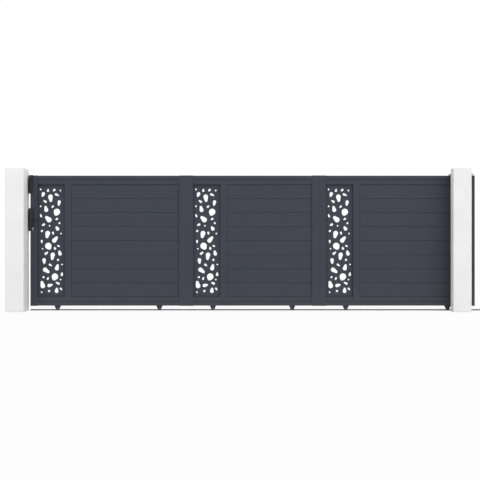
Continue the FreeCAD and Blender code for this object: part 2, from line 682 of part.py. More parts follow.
def make_lock_keeper():
    """Slotted plate facing the leaf's end, on the same kind of flange."""
    z0 = LOCK_PLATE_BOTTOM
    z1 = z0 + KEEPER_HEIGHT
    plate = prism_z([(WEB_NEAR, LEAF_FRONT), (WEB_FAR, LEAF_FRONT)] + fixing_flange(), z0, z1)
    half = BOLT_SLOT_WIDTH / 2
    low = (LEVER_HEIGHT + CYLINDER_HEIGHT) / 2 - BOLT_SLOT_HEIGHT / 2
    slot = block(WEB_NEAR - CUT_MARGIN, WEB_FAR + CUT_MARGIN, LEAF_MIDDLE - half, LEAF_MIDDLE + half,
                 low, low + BOLT_SLOT_HEIGHT)
    export("lock_keeper", plate.cut(slot).Solids)


def make_lock():
    z0, z1 = lock_case_heights()
    half_y = LOCK_CASE_THICKNESS / 2
    case = block(LEAF_START, LEAF_START + LOCK_CASE_DEPTH,
                 LEAF_MIDDLE - half_y, LEAF_MIDDLE + half_y, z0, z1)
    face_middle = (z0 + z1) / 2
    face = block(LEAF_START - FACE_PLATE_THICKNESS, LEAF_START, LEAF_MIDDLE - FACE_PLATE_WIDTH / 2,
                 LEAF_MIDDLE + FACE_PLATE_WIDTH / 2, face_middle - FACE_PLATE_HEIGHT / 2,
                 face_middle + FACE_PLATE_HEIGHT / 2)
    spindle_hole = rod_y(LOCK_X, LEVER_HEIGHT, SPINDLE_SIDE / math.sqrt(2) + SPINDLE_GAP,
                         LEAF_FRONT, LEAF_BACK)
    case = case.fuse(face).removeSplitter().cut(spindle_hole)
    case = case.cut(cylinder_shape(CYLINDER_GAP, LEAF_FRONT, LEAF_BACK))
    export("lock_case", case.Solids)

    plate_top = LOCK_PLATE_BOTTOM + LOCK_PLATE_HEIGHT
    half = LOCK_PLATE_WIDTH / 2
    plates = []
    for y0 in (LEAF_FRONT - LOCK_PLATE_THICKNESS, LEAF_BACK):
        y1 = y0 + LOCK_PLATE_THICKNESS
        plate = block(LOCK_X - half, LOCK_X + half, y0, y1, LOCK_PLATE_BOTTOM, plate_top)
        plate = plate.cut(rod_y(LOCK_X, LEVER_HEIGHT, LEVER_NECK_RADIUS + LEVER_NECK_GAP,
                                y0 - CUT_MARGIN, y1 + CUT_MARGIN))
        plate = plate.cut(cylinder_shape(CYLINDER_GAP, y0 - CUT_MARGIN, y1 + CUT_MARGIN))
        plates.append(plate.Solids[0])
    export("lock_plates", plates)

    outside = LOCK_PLATE_THICKNESS + CYLINDER_PROJECTION
    export("lock_cylinder", cylinder_shape(0, LEAF_FRONT - outside, LEAF_BACK + outside).Solids)


def make_lever():
    """Both levers on one square spindle."""
    half = SPINDLE_SIDE / 2
    body = block(LOCK_X - half, LOCK_X + half, LEAF_FRONT, LEAF_BACK,
                 LEVER_HEIGHT - half, LEVER_HEIGHT + half)
    bar_half = LEVER_BAR_HEIGHT / 2
    for side, face in ((-1, LEAF_FRONT), (1, LEAF_BACK)):
        far = face + side * LEVER_PROJECTION
        near = far - side * LEVER_BAR_DEPTH
        neck = rod_y(LOCK_X, LEVER_HEIGHT, LEVER_NECK_RADIUS, min(face, near), max(face, near))
        bar = block(LOCK_X - bar_half, LOCK_X + LEVER_LENGTH - bar_half, min(near, far), max(near, far),
                    LEVER_HEIGHT - bar_half, LEVER_HEIGHT + bar_half)
        bar = bar.makeFillet(LEVER_BAR_EDGE, edges_along(bar, V(1, 0, 0)))
        body = body.fuse(neck).fuse(bar)
    export("lock_lever", body.removeSplitter().Solids)


os.makedirs("parts", exist_ok=True)
make_pillars()
make_ground_rail()
make_modules()
make_wheels()
make_top_guide()
make_closing_receiver()
make_lock_keeper()
make_lock()
make_lever()
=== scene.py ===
from math import acos, copysign, cos, pi, radians, sin, sqrt

import bmesh
import bpy
from bpy.props import FloatProperty, FloatVectorProperty, IntProperty, PointerProperty
from bpy.types import NodeSocket, Operator, Panel, PropertyGroup
from mathutils import Matrix, Vector, noise


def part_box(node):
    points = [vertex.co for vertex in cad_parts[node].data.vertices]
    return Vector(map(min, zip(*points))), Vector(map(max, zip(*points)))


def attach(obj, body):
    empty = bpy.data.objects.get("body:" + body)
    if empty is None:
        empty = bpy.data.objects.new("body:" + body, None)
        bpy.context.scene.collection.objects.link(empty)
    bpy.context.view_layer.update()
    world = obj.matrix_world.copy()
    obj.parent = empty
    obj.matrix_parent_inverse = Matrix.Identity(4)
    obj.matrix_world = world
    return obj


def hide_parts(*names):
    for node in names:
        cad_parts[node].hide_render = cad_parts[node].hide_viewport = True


# Looks of a sliding driveway gate: an anthracite leaf on a ground rail between two rendered pillars.
# Everything is in metres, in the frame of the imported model.

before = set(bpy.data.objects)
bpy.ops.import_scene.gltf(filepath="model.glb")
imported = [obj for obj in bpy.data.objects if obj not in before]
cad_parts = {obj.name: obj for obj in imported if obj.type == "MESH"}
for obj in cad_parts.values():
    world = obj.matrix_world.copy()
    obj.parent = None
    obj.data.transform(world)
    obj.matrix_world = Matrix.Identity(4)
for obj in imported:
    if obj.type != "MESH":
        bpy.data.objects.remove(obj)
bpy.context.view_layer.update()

bl_info = {
    "name": "Sliding Gate Looks",
    "version": (1, 0, 0),
    "blender": (4, 5, 0),
    "location": "3D View > Sidebar > Gate",
    "description": "Finishes and small hardware of a sliding driveway gate",
    "category": "Object",
}

MODULES = (1, 2, 3)
PROFILE_NODES = tuple(
    f"{part}_{n}" for n in MODULES
    for part in ("stile_left", "stile_middle", "stile_right", "top_rail", "bottom_rail"))
SLAT_NODES = tuple(f"slats_{n}" for n in MODULES)
PANEL_NODES = tuple(f"pierced_panel_{n}" for n in MODULES)
RAIL_NODES = tuple(f"rail_section_{n}" for n in MODULES)
WHEELS = tuple(f"wheel_{n}" for n in range(1, 7))

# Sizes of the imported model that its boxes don't give
RAIL_PLATE = 0.005
BEAD_RADIUS = 0.008
ANCHOR_PAIRS = 4
ANCHOR_END = 0.150
ANCHOR_SPREAD = 0.044
WHEEL_WIDTH = 0.024
HUB_RADIUS = 0.009
AXLE_RADIUS = 0.005
AXLE_BORE = 0.0051
CHEEK_OUTSIDE = 0.0175
GUIDE_LEG = 0.006
ROLLER_RADIUS = 0.020
ROLLER_HEIGHT = 0.038
ROLLER_BORE = 0.0063
ROLLER_SHANK = 0.006
RUNNING_GAP = 0.0003
LEAF_TO_RECEIVER = 0.0092
LOCK_PLATE = 0.003
BARREL_RADIUS = 0.0085
SPINDLE_SIDE = 0.008

# Heights of the screws that hold the receiving pieces, as shares of each piece's height
RECEIVER_SCREWS = {"closing_receiver": (0.18, 0.82), "lock_keeper": (0.12, 0.5, 0.88)}

# Outline of the keyway, as shares of the key plug's radius
KEYWAY = ((-0.11, -0.48), (0.11, -0.48), (0.11, -0.10), (0.21, -0.03), (0.21, 0.16),
          (0.11, 0.23), (0.11, 0.50), (-0.11, 0.50), (-0.11, 0.06), (-0.19, 0.0))

# Sides of the small round parts and of the lever's oval section
HEAD_STEPS = 36
DOME_STEPS = 24
WASHER_STEPS = 40
PLUG_STEPS = 32
SHANK_STEPS = 32
ROSE_STEPS = 48
OVAL_STEPS = 28

X_AXIS = Vector((1, 0, 0))
Y_AXIS = Vector((0, 1, 0))
Z_AXIS = Vector((0, 0, 1))
WHITE = (1.0, 1.0, 1.0, 1.0)
DRY_DUST = (0.16, 0.155, 0.145, 1.0)
SPLASHED_SOIL = (0.50, 0.48, 0.44, 1.0)


def number(name, description, default, **limits):
    """Setting that holds a number."""
    return FloatProperty(name=name, description=description, default=default, **limits)


def length(name, description, default):
    """Setting that holds a length."""
    return number(name, description, default, min=0.0, unit="LENGTH", subtype="DISTANCE", precision=5)


def shade(name, description, default):
    """Setting that holds a colour."""
    return FloatVectorProperty(name=name, description=description, default=default, size=3,
                               min=0.0, max=1.0, subtype="COLOR")


class GateFinishSettings(PropertyGroup):
    """Colours of the gate's finishes, as scene linear values."""

    powder_coat: shade("Powder coat", "Anthracite coat of the leaf", (0.0398, 0.0455, 0.0612))
    black_coat: shade("Black coat", "Coat of the brackets and the lock", (0.019, 0.021, 0.025))
    fork_coat: shade("Fork coat", "Dark coat of the wheel forks", (0.030, 0.034, 0.042))
    plaster: shade("Pillar render", "Off-white render of the pillars", (0.838, 0.838, 0.838))
    zinc: shade("Zinc", "Galvanised base plate of the ground rail", (0.66, 0.67, 0.68))
    # Painted shade: the bead's dark colour stands in for the leaf's shadow on the rail.
    bead: shade("Bead", "Running bead of the ground rail", (0.050, 0.052, 0.057))
    screw: shade("Screws", "Zinc-plated screws, nuts and washers", (0.36, 0.36, 0.355))
    dark_screw: shade("Dark screws", "Blackened bolts and screws", (0.075, 0.078, 0.085))
    wheel: shade("Wheel steel", "Turned steel of the wheels", (0.056, 0.058, 0.064))
    nylon: shade("Nylon", "Guide rollers", (0.022, 0.022, 0.023))
    plastic: shade("Plastic", "Caps on the ends of the stiles", (0.024, 0.026, 0.031))
    # The rubber colour also paints the shade inside the keyways.
    rubber: shade("Rubber", "Gaskets and the stop buffer", (0.017, 0.019, 0.025))
    cylinder: shade("Lock cylinder", "Nickel-plated brass of the cylinder", (0.36, 0.35, 0.31))


class GatePillarSettings(PropertyGroup):
    """Surface of the rendered pillars."""

    grid: length("Grid", "Distance between points of the rendered surface", 0.0075)
    edge_radius: length("Edge radius", "Rounding of the pillar's corners", 0.006)
    relief: length("Relief", "Depth of the trowelled unevenness", 0.0014)
    grain_size: length("Grain size", "Size of the largest grains in the render", 0.016)


class GateHardwareSettings(PropertyGroup):
    """Sizes of the screws, gaskets, handles and edges that finish the gate."""

    edge: length("Edge", "Broken edge of the profiles", 0.0006)
    sheet_edge: length("Sheet edge", "Broken edge of bent sheet", 0.0006)
    anchor_flats: length("Anchor flats", "Anchor screws, across flats", 0.013)
    bolt_flats: length("Bolt flats", "The guide's bolts, across flats", 0.019)
    nut_flats: length("Nut flats", "Axle nuts, across flats", 0.015)
    flange_flats: length("Flange flats", "The receiver's screws, across flats", 0.010)
    washer: length("Washer", "Thickness of the washers", 0.0014)
    gasket_width: length("Gasket width", "Visible width of the panel gasket", 0.0040)
    gasket_depth: length("Gasket depth", "Depth of the panel gasket off the sheet", 0.0035)
    fork_screw: length("Fork screw", "Radius of the screws that hold the forks", 0.0048)
    fork_screw_reach: length("Fork screw reach", "A fork's screws from its axle", 0.044)
    roller_round: length("Roller round", "Rounding of the guide rollers' rims", 0.0035)
    bracket_inset: length("Bracket inset", "The bracket's anchors from its ends", 0.030)
    buffer_inset: length("Buffer inset", "Bare sheet round the stop buffer", 0.012)
    buffer_depth: length("Buffer depth", "Thickness of the stop buffer", 0.004)
    plate_corner: length("Plate corner", "Corner radius of the lock plates", 0.010)
    plate_edge: length("Plate edge", "Softened front edge of the lock plates", 0.0012)
    rose: length("Rose", "Radius of the ring round each lever's neck", 0.015)
    lock_screw: length("Lock screw", "Radius of the screws of the lock", 0.0038)
    lock_screw_inset: length("Lock screw inset", "The lock's screws from its ends", 0.014)
    plug: length("Key plug", "Radius of the plug that takes the key", 0.0062)
    plug_rise: length("Key plug rise", "Height of the key plug off its cylinder", 0.0006)
    lever_neck: length("Lever neck", "Neck's radius, and half the bar's height", 0.008)
    lever_bar: length("Lever bar", "Half the thickness of the lever's bar", 0.0053)
    lever_elbow: length("Lever elbow", "Bend from the neck to the bar", 0.013)
    lever_taper: length("Lever taper", "How much both halves lose to the end", 0.0011)
    lever_dip: length("Lever dip", "How far the end turns back to the leaf", 0.0032)
    lever_round: length("Lever round", "Length of the lever's rounded end", 0.0075)
    turned_steps: IntProperty(name="Turned steps", description="Sides of a turned piece", default=64,
                              min=16, max=256)


class GateStageSettings(PropertyGroup):
    """Camera, light and floor."""

    camera_x: number("Camera X", "Camera place along the gate", 2.364, unit="LENGTH")
    camera_y: number("Camera Y", "Camera place before the gate", -11.874, unit="LENGTH")
    camera_height: number("Camera height", "Camera above the ground", 0.754, unit="LENGTH")
    focal_length: number("Focal length", "Lens in mm on a 36 mm sensor", 83.94, min=1.0)
    key_strength: number("Key", "Soft light from the left", 0.55, min=0.0)
    fill_strength: number("Fill", "Soft light from the right", 1.18, min=0.0)
    back_strength: number("Back light", "Light from behind", 0.5, min=0.0)
    sky_strength: number("Sky", "Even light all round", 0.66, min=0.0)
    floor_glow: number("Floor glow", "Share of the floor that reads plain white", 0.92, min=0.0, max=1.0)


# Each light's place, the setting that gives its strength, and its width in degrees
SUNS = {
    "key_sun": ((-6.4, -7.0, 7.8), "key_strength", 30.0),
    "fill_sun": ((6.6, -7.0, 4.6), "fill_strength", 60.0),
    "back_sun": ((5.1, 8.0, 6.3), "back_strength", 30.0),
}


def settings(group):
    return getattr(bpy.context.scene, "gate_" + group)


# Materials

def set_sockets(tree, node, sockets):
    """Set a node's sockets, each to a value or to the output of another node."""
    for socket, value in sockets.items():
        if isinstance(value, NodeSocket):
            tree.links.new(value, node.inputs[socket])
        else:
            node.inputs[socket].default_value = value


def add_node(tree, kind, sockets, **properties):
    """Add a node, and set its properties and sockets."""
    made = tree.nodes.new(kind)
    for name, value in properties.items():
        setattr(made, name, value)
    set_sockets(tree, made, sockets)
    return made


def new_material(name, colour):
    """Start a material of one colour, and give its node tree and its shader."""
    material = bpy.data.materials.new(name)
    material.use_nodes = True
    material.diffuse_color = (*colour, 1.0)
    shader = material.node_tree.nodes["Principled BSDF"]
    shader.inputs["Base Color"].default_value = material.diffuse_color
    return material.node_tree, shader


def object_place(tree, stretch=(1.0, 1.0, 1.0)):
    """Place in the piece's own space, in metres, stretched along each axis."""
    place = tree.nodes.new("ShaderNodeTexCoord").outputs["Object"]
    return add_node(tree, "ShaderNodeMapping", {"Vector": place, "Scale": stretch}).outputs["Vector"]


def height_value(tree):
    return add_node(tree, "ShaderNodeSeparateXYZ", {"Vector": object_place(tree)}).outputs["Z"]


def mottle(tree, scale, detail=2.0, roughness=0.5, stretch=(1.0, 1.0, 1.0)):
    """Cloudy value, with patches about as long as a metre divided by scale."""
    sockets = {"Vector": object_place(tree, stretch), "Scale": scale,
               "Detail": detail, "Roughness": roughness}
    return add_node(tree, "ShaderNodeTexNoise", sockets).outputs["Fac"]


def crystal_patches(tree, scale):
    """Two values that are each the same all over a crystal of zinc."""
    crystals = add_node(tree, "ShaderNodeTexVoronoi", {"Vector": object_place(tree), "Scale": scale})
    patch = add_node(tree, "ShaderNodeSeparateColor", {"Color": crystals.outputs["Color"]})
    return patch.outputs["Red"], patch.outputs["Green"]


def spread(tree, value, low=0.0, high=1.0, from_low=0.3, from_high=0.7):
    """Map a value's range, by default the middle of a texture's, to the values from low to high."""
    sockets = {"Value": value, "From Min": from_low, "From Max": from_high, "To Min": low, "To Max": high}
    return add_node(tree, "ShaderNodeMapRange", sockets).outputs["Result"]


def calculate(tree, operation, first, second):
    return add_node(tree, "ShaderNodeMath", {0: first, 1: second}, operation=operation).outputs["Value"]


def mixed(tree, share, below, above):
    """Mix two colours by a share, where 1 is the second."""
    mix = add_node(tree, "ShaderNodeMix", {0: share, 6: below, 7: above}, data_type="RGBA")
    return mix.outputs[2]


def scaled(colour, factor):
    return tuple(min(1.0, part * factor) for part in colour) + (1.0,)


def two_tones(tree, share, colour, darker, lighter):
    """One colour between a darker and a lighter tone, by a share."""
    return mixed(tree, share, scaled(colour, darker), scaled(colour, lighter))


def bump(tree, shader, height, strength, distance, below=None):
    """Raise the surface by a value, over the bump below where one is given."""
    raised = add_node(tree, "ShaderNodeBump", {"Height": height, "Strength": strength, "Distance": distance})
    if below is not None:
        set_sockets(tree, raised, {"Normal": below})
    set_sockets(tree, shader, {"Normal": raised.outputs["Normal"]})
    return raised.outputs["Normal"]


def ground_dust(tree, reach, most):
    """A patchy value that is highest at the ground and fades out at the height reach."""
    fade = spread(tree, height_value(tree), most, 0.0, 0.0, reach)
    return calculate(tree, "MULTIPLY", fade, mottle(tree, 9.0, 4.0, 0.6))


def powder_coat_material(name, colour, stretch=(1.0, 1.0, 1.0)):
    """Fine-textured matt coat on aluminium: tiny grains, faint drift of tone, a little ground dust."""
    tree, shader = new_material(name, colour)
    drift = spread(tree, mottle(tree, 2.6, 3.0, 0.55, stretch))
    tone = two_tones(tree, drift, colour, 0.97, 1.03)
    grain = mottle(tree, 1500.0, 1.0)
    flecked = mixed(tree, spread(tree, grain, 0.0, 0.10, 0.62, 0.80), tone, scaled(colour, 2.2))
    dusty = mixed(tree, ground_dust(tree, 0.34, 0.16), flecked, DRY_DUST)
    gloss = spread(tree, mottle(tree, 14.0, 4.0), 0.45, 0.55)
    set_sockets(tree, shader, {"Base Color": dusty, "Roughness": gloss, "Specular IOR Level": 0.22})
    bump(tree, shader, grain, 0.16, 0.0004)


def plaster_material(name, colour):
    """Rough off-white render: grains of several sizes, faint clouds of tone, darker pores."""
    tree, shader = new_material(name, colour)
    tone = two_tones(tree, spread(tree, mottle(tree, 3.2, 5.0, 0.6)), colour, 0.955, 1.03)
    grains = mottle(tree, 95.0, 4.0, 0.62)
    pitted = mixed(tree, spread(tree, grains, 0.30, 0.0, 0.34, 0.50), tone, scaled(colour, 0.80))
    splashed = mixed(tree, ground_dust(tree, 0.22, 0.20), pitted, SPLASHED_SOIL)
    set_sockets(tree, shader, {"Base Color": splashed, "Roughness": 0.93, "Specular IOR Level": 0.25})
    coarse = bump(tree, shader, grains, 0.75, 0.0030)
    bump(tree, shader, mottle(tree, 420.0, 3.0, 0.6), 0.45, 0.0010, coarse)


def zinc_material(name, colour, roughness, metallic):
    """Zinc on steel: crystal patches of uneven brightness and gloss, with dull stains."""
    tree, shader = new_material(name, colour)
    tint, shine = crystal_patches(tree, 420.0)
    stain = spread(tree, mottle(tree, 30.0, 5.0, 0.65), 0.0, 0.35, 0.52, 0.75)
    dulled = mixed(tree, stain, two_tones(tree, tint, colour, 0.80, 1.16), scaled(colour, 0.55))
    gloss = spread(tree, shine, roughness - 0.09, roughness + 0.13, 0.0, 1.0)
    set_sockets(tree, shader, {"Base Color": dulled, "Roughness": gloss, "Metallic": metallic})
    bump(tree, shader, mottle(tree, 260.0, 3.0), 0.10, 0.0005)


def ground_rail_material(name, colour):
    """Galvanised base plate, and above it the bead, painted dark as painted shade for the leaf's shadow on
    it.
    """
    tree, shader = new_material(name, colour)
    tint, shine = crystal_patches(tree, 85.0)
    plate = two_tones(tree, tint, colour, 0.88, 1.10)
    streaks = mottle(tree, 42.0, 4.0, 0.6, (0.4, 9.0, 9.0))
    # Painted shade: the bead above the plate takes a dark colour that stands in for the shadow under the
    # leaf.
    bead = two_tones(tree, spread(tree, streaks), settings("finish").bead, 0.75, 1.35)
    above = spread(tree, height_value(tree), 0.0, 1.0, RAIL_PLATE + 0.0002, RAIL_PLATE + 0.0008)
    tone = mixed(tree, above, plate, bead)
    gloss = spread(tree, shine, 0.38, 0.58, 0.0, 1.0)
    set_sockets(tree, shader, {"Base Color": tone, "Roughness": gloss, "Metallic": 0.15})
    bump(tree, shader, mottle(tree, 260.0, 3.0), 0.10, 0.0005)


def turned_steel_material(name, colour, lift=1.0):
    """Turned steel with fine rings and a darkened skin, lifted where wheels run bright."""
    colour = scaled(colour, lift)[:3]
    tree, shader = new_material(name, colour)
    rings = mottle(tree, 120.0, 3.0, 0.6, (1.0, 14.0, 1.0))
    tone = two_tones(tree, spread(tree, rings), colour, 0.75, 1.25)
    gloss = spread(tree, mottle(tree, 60.0, 4.0), 0.28, 0.50)
    set_sockets(tree, shader, {"Base Color": tone, "Roughness": gloss, "Metallic": 0.82})
    bump(tree, shader, rings, 0.12, 0.0004)


def moulded_material(name, colour, roughness, scale):
    """Moulded plastic or rubber: dull, with a faint grain and scuffs."""
    tree, shader = new_material(name, colour)
    scuffs = spread(tree, mottle(tree, 45.0, 5.0, 0.65))
    tone = two_tones(tree, scuffs, colour, 0.85, 1.35)
    gloss = spread(tree, scuffs, roughness - 0.08, roughness + 0.08, 0.0, 1.0)
    set_sockets(tree, shader, {"Base Color": tone, "Roughness": gloss, "Specular IOR Level": 0.4})
    bump(tree, shader, mottle(tree, scale), 0.15, 0.0004)


def brass_material(name, colour):
    """Satin nickel-brass with hairline brushing."""
    tree, shader = new_material(name, colour)
    hairs = mottle(tree, 160.0, 3.0, 0.6, (1.0, 1.0, 24.0))
    tone = two_tones(tree, spread(tree, hairs), colour, 0.86, 1.12)
    set_sockets(tree, shader, {"Base Color": tone, "Roughness": 0.34, "Metallic": 0.85})
    bump(tree, shader, hairs, 0.08, 0.0003)


# Each finish: what makes it, its colour among the finish settings, and the maker's other values
FINISHES = {
    "leaf_coat": (powder_coat_material, "powder_coat"),
    "board_coat": (powder_coat_material, "powder_coat", (0.35, 1.0, 9.0)),
    "bracket_coat": (powder_coat_material, "black_coat"),
    "fork_coat": (powder_coat_material, "fork_coat"),
    "pillar_plaster": (plaster_material, "plaster"),
    "rail_zinc": (ground_rail_material, "zinc"),
    "screw_zinc": (zinc_material, "screw", 0.36, 0.85),
    "screw_dark": (zinc_material, "dark_screw", 0.42, 0.55),
    "turned_steel": (turned_steel_material, "wheel"),
    "rubbed_steel": (turned_steel_material, "wheel", 2.6),
    "black_nylon": (moulded_material, "nylon", 0.48, 350.0),
    "cap_plastic": (moulded_material, "plastic", 0.55, 420.0),
    "black_rubber": (moulded_material, "rubber", 0.72, 500.0),
    "nickel_brass": (brass_material, "cylinder"),
}


def finish(name):
    """The finish of that name, made the first time it is asked for."""
    title = "gate_" + name
    if title not in bpy.data.materials:
        maker, colour, *details = FINISHES[name]
        maker(title, tuple(getattr(settings("finish"), colour)), *details)
    return bpy.data.materials[title]


# Mesh making

def piece_from(shape, name, materials, body, sharp=35.0):
    """Make a smooth-shaded piece, with edges past the angle sharp kept hard, that rides on a body."""
    bmesh.ops.recalc_face_normals(shape, faces=shape.faces)
    mesh = bpy.data.meshes.new(name)
    shape.to_mesh(mesh)
    shape.free()
    for material in materials:
        mesh.materials.append(finish(material))
    mesh.polygons.foreach_set("use_smooth", [True] * len(mesh.polygons))
    mesh.set_sharp_from_angle(angle=radians(sharp))
    piece = bpy.data.objects.new(name, mesh)
    bpy.context.scene.collection.objects.link(piece)
    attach(piece, body)
    return piece


def soften_edges(node, width):
    """Round the hard edges of a CAD node with a modifier."""
    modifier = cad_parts[node].modifiers.new("broken_edges", "BEVEL")
    modifier.width = width
    modifier.segments = 2
    modifier.limit_method = "ANGLE"
    modifier.angle_limit = radians(40.0)
    modifier.use_clamp_overlap = True
    modifier.harden_normals = True


def dress(node, material):
    """Give a CAD node its finish."""
    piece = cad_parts[node]
    for material_slot in piece.material_slots:
        material_slot.material = finish(material)


def turn_to(origin, direction):
    """Matrix that carries a shape built up along +Z to an origin and a direction."""
    turned = Vector(direction).to_track_quat("Z", "Y").to_matrix().to_4x4()
    return Matrix.Translation(Vector(origin)) @ turned


def raised_by(height):
    return Matrix.Translation((0, 0, height))


def ring(matrix, steps, radius, height):
    """Points round +Z. The radius and the height are each a number or a function of the angle."""
    points = []
    for k in range(steps):
        angle = 2 * pi * k / steps
        reach = radius(angle) if callable(radius) else radius
        rise = height(angle) if callable(height) else height
        points.append(matrix @ Vector((reach * cos(angle), reach * sin(angle), rise)))
    return points


def skin(shape, loops, joined=False, second=()):
    """Skin between rings of points. The last ring joins the first, or else both ends are closed.
    The stretches whose numbers are in second get the second material."""
    rings = [[shape.verts.new(point) for point in loop] for loop in loops]
    count = len(rings[0])
    onward = rings[1:] + rings[:1] if joined else rings[1:]
    for stretch, (near, far) in enumerate(zip(rings, onward)):
        for i in range(count):
            after = (i + 1) % count
            face = shape.faces.new((near[i], near[after], far[after], far[i]))
            face.material_index = int(stretch in second)
    if not joined:
        shape.faces.new(rings[0])
        shape.faces.new(list(reversed(rings[-1])))


def add_turned(shape, profile, matrix, steps, second=()):
    """Turn a closed profile of (radius, height) about +Z."""
    skin(shape, [ring(matrix, steps, radius, height) for radius, height in profile], True, second)


def add_block(shape, low, high, edge, segments):
    """Box with rounded edges."""
    low, high = Vector(low), Vector(high)
    made = bmesh.ops.create_cube(shape, size=1.0)["verts"]
    for vertex in made:
        vertex.co = Vector([low[i] + (vertex.co[i] + 0.5) * (high[i] - low[i]) for i in range(3)])
    edges = list({e for v in made for e in v.link_edges})
    bmesh.ops.bevel(shape, geom=edges, offset=edge, segments=segments, affect="EDGES", profile=0.5)


def hexagon_reach(angle, flats):
    """Distance from the middle of a hexagon to its outline, at an angle."""
    return flats / 2 / cos(angle % (pi / 3) - pi / 6)


def add_hexagon(shape, matrix, flats, height):
    """Hexagon head or nut that stands on z = 0, with its corners turned off at the top."""
    overhang = flats / sqrt(3) - flats / 2
    crown = flats * 0.47875

    def side(angle):
        return hexagon_reach(angle, flats)

    def shoulder(angle):
        return height * (0.86 - 0.10 * (side(angle) - flats / 2) / overhang)

    skin(shape, [ring(matrix, HEAD_STEPS, side, 0.0), ring(matrix, HEAD_STEPS, side, shoulder),
                 ring(matrix, HEAD_STEPS, crown, height)])


def add_washer(shape, matrix, inner, outer, thickness):
    edge = thickness * 0.25
    profile = [(inner, 0.0), (outer - edge, 0.0), (outer, edge), (outer, thickness - edge),
               (outer - edge, thickness), (inner, thickness)]
    add_turned(shape, profile, matrix, WASHER_STEPS)


def add_hex_screw(shape, origin, direction, flats):
    """Hexagon head on a washer, seated at origin."""
    matrix = turn_to(origin, direction)
    thickness = flats * 0.12
    add_washer(shape, matrix, flats * 0.3, flats * 0.80, thickness)
    add_hexagon(shape, matrix @ raised_by(thickness), flats, flats * 0.42)


def add_dome_screw(shape, origin, direction, radius):
    """Round head with a hexagon socket."""
    matrix = turn_to(origin, direction)
    socket = radius * 0.42
    outline = [(radius, 0.0), (radius, radius * 0.22), (radius * 0.90, radius * 0.48),
               (radius * 0.66, radius * 0.66), (socket * 1.12, radius * 0.72)]
    levels = [ring(matrix, DOME_STEPS, reach, rise) for reach, rise in outline]

    def wall(angle):
        return hexagon_reach(angle, socket * sqrt(3))

    skin(shape, levels + [ring(matrix, DOME_STEPS, wall, rise) for rise in (radius * 0.70, radius * 0.25)])


# Pieces

def rendered_box(low, high, values):
    """Closed box surface on a fine grid, with rounded corners and a trowelled, grainy relief."""
    shape = bmesh.new()
    size = high - low
    counts = [max(2, round(size[i] / values.grid)) for i in range(3)]
    for axis in range(3):
        first, second = (axis + 1) % 3, (axis + 2) % 3
        for side in (low, high):
            rows = []
            for i in range(counts[first] + 1):
                row = []
                for j in range(counts[second] + 1):
                    point = side.copy()
                    point[first] = low[first] + size[first] * i / counts[first]
                    point[second] = low[second] + size[second] * j / counts[second]
                    row.append(shape.verts.new(point))
                rows.append(row)
            for near, far in zip(rows, rows[1:]):
                for j in range(counts[second]):
                    shape.faces.new((near[j], far[j], far[j + 1], near[j + 1]))
    bmesh.ops.remove_doubles(shape, verts=shape.verts, dist=values.grid * 0.01)
    radius = values.edge_radius
    trowel_size = 0.16
    inset = Vector((radius, radius, radius))
    inner_low, inner_high = low + inset, high - inset
    for vertex in shape.verts:
        core = Vector([min(max(vertex.co[i], inner_low[i]), inner_high[i]) for i in range(3)])
        if vertex.co.z < low.z + 1e-6:
            core.z = vertex.co.z
        outward = vertex.co - core
        if outward.length < 1e-9:
            continue
        outward.normalize()
        grains = noise.fractal(vertex.co / values.grain_size, 0.7, 2.0, 4)
        trowel = noise.noise(vertex.co / trowel_size)
        depth = values.relief * (0.5 + 0.5 * max(-1.0, min(1.0, 0.75 * grains + 0.45 * trowel)))
        vertex.co = core + outward * (radius - depth)
    return shape


class GATE_OT_pillars(Operator):
    """Cover both pillars with rough render"""

    bl_idname = "gate.pillars"
    bl_label = "Rendered pillars"

    def execute(self, context):
        for node in ("left_pillar", "right_pillar"):
            low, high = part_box(node)
            shape = rendered_box(low, high, settings("pillar"))
            piece = piece_from(shape, node + "_render", ["pillar_plaster"], "root", 180.0)
            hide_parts(node)
        return {"FINISHED"}


class GATE_OT_leaf_profiles(Operator):
    """Coat the profiles, boards and pierced sheets of the leaf, break the edges of the profiles and stile
    caps, and give the caps plastic
    """

    bl_idname = "gate.leaf_profiles"
    bl_label = "Leaf profiles"

    def execute(self, context):
        edge = settings("hardware").edge
        for node in PROFILE_NODES + ("stile_caps",):
            soften_edges(node, edge)
        for node in PROFILE_NODES + PANEL_NODES:
            dress(node, "leaf_coat")
        for node in SLAT_NODES:
            dress(node, "board_coat")
        dress("stile_caps", "cap_plastic")
        return {"FINISHED"}


def add_gasket(shape, low, high, face, out, width, depth):
    """Mitred ring of rubber with a rounded lip, lying on one face of a sheet. Its dark ring is also painted
    shade along the sheet's edge.
    """
    section = [(0.0, 0.0), (0.0, depth), (width * 0.35, depth), (width * 0.75, depth * 0.78),
               (width * 0.97, depth * 0.35), (width, 0.0)]
    loops = []
    for inward, rise in section:
        left, right = low.x + inward, high.x - inward
        bottom, top = low.z + inward, high.z - inward
        corners = ((left, bottom), (right, bottom), (right, top), (left, top))
        loops.append([Vector((x, face + out * rise, z)) for x, z in corners])
    skin(shape, loops, True)


class GATE_OT_gaskets(Operator):
    """Run a rubber gasket round each pierced sheet, on both faces; its dark ring is partly painted shade at
    the sheet's edge
    """

    bl_idname = "gate.gaskets"
    bl_label = "Panel gaskets"

    def execute(self, context):
        values = settings("hardware")
        for n, node in zip(MODULES, PANEL_NODES):
            low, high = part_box(node)
            shape = bmesh.new()
            # Black rubber gasket, partly painted shade: its dark ring stands for the shade where the sheet
            # meets the frame.
            for face, out in ((low.y, -1), (high.y, 1)):
                add_gasket(shape, low, high, face, out, values.gasket_width, values.gasket_depth)
            piece_from(shape, f"panel_gasket_{n}", ["black_rubber"], "leaf")
        return {"FINISHED"}


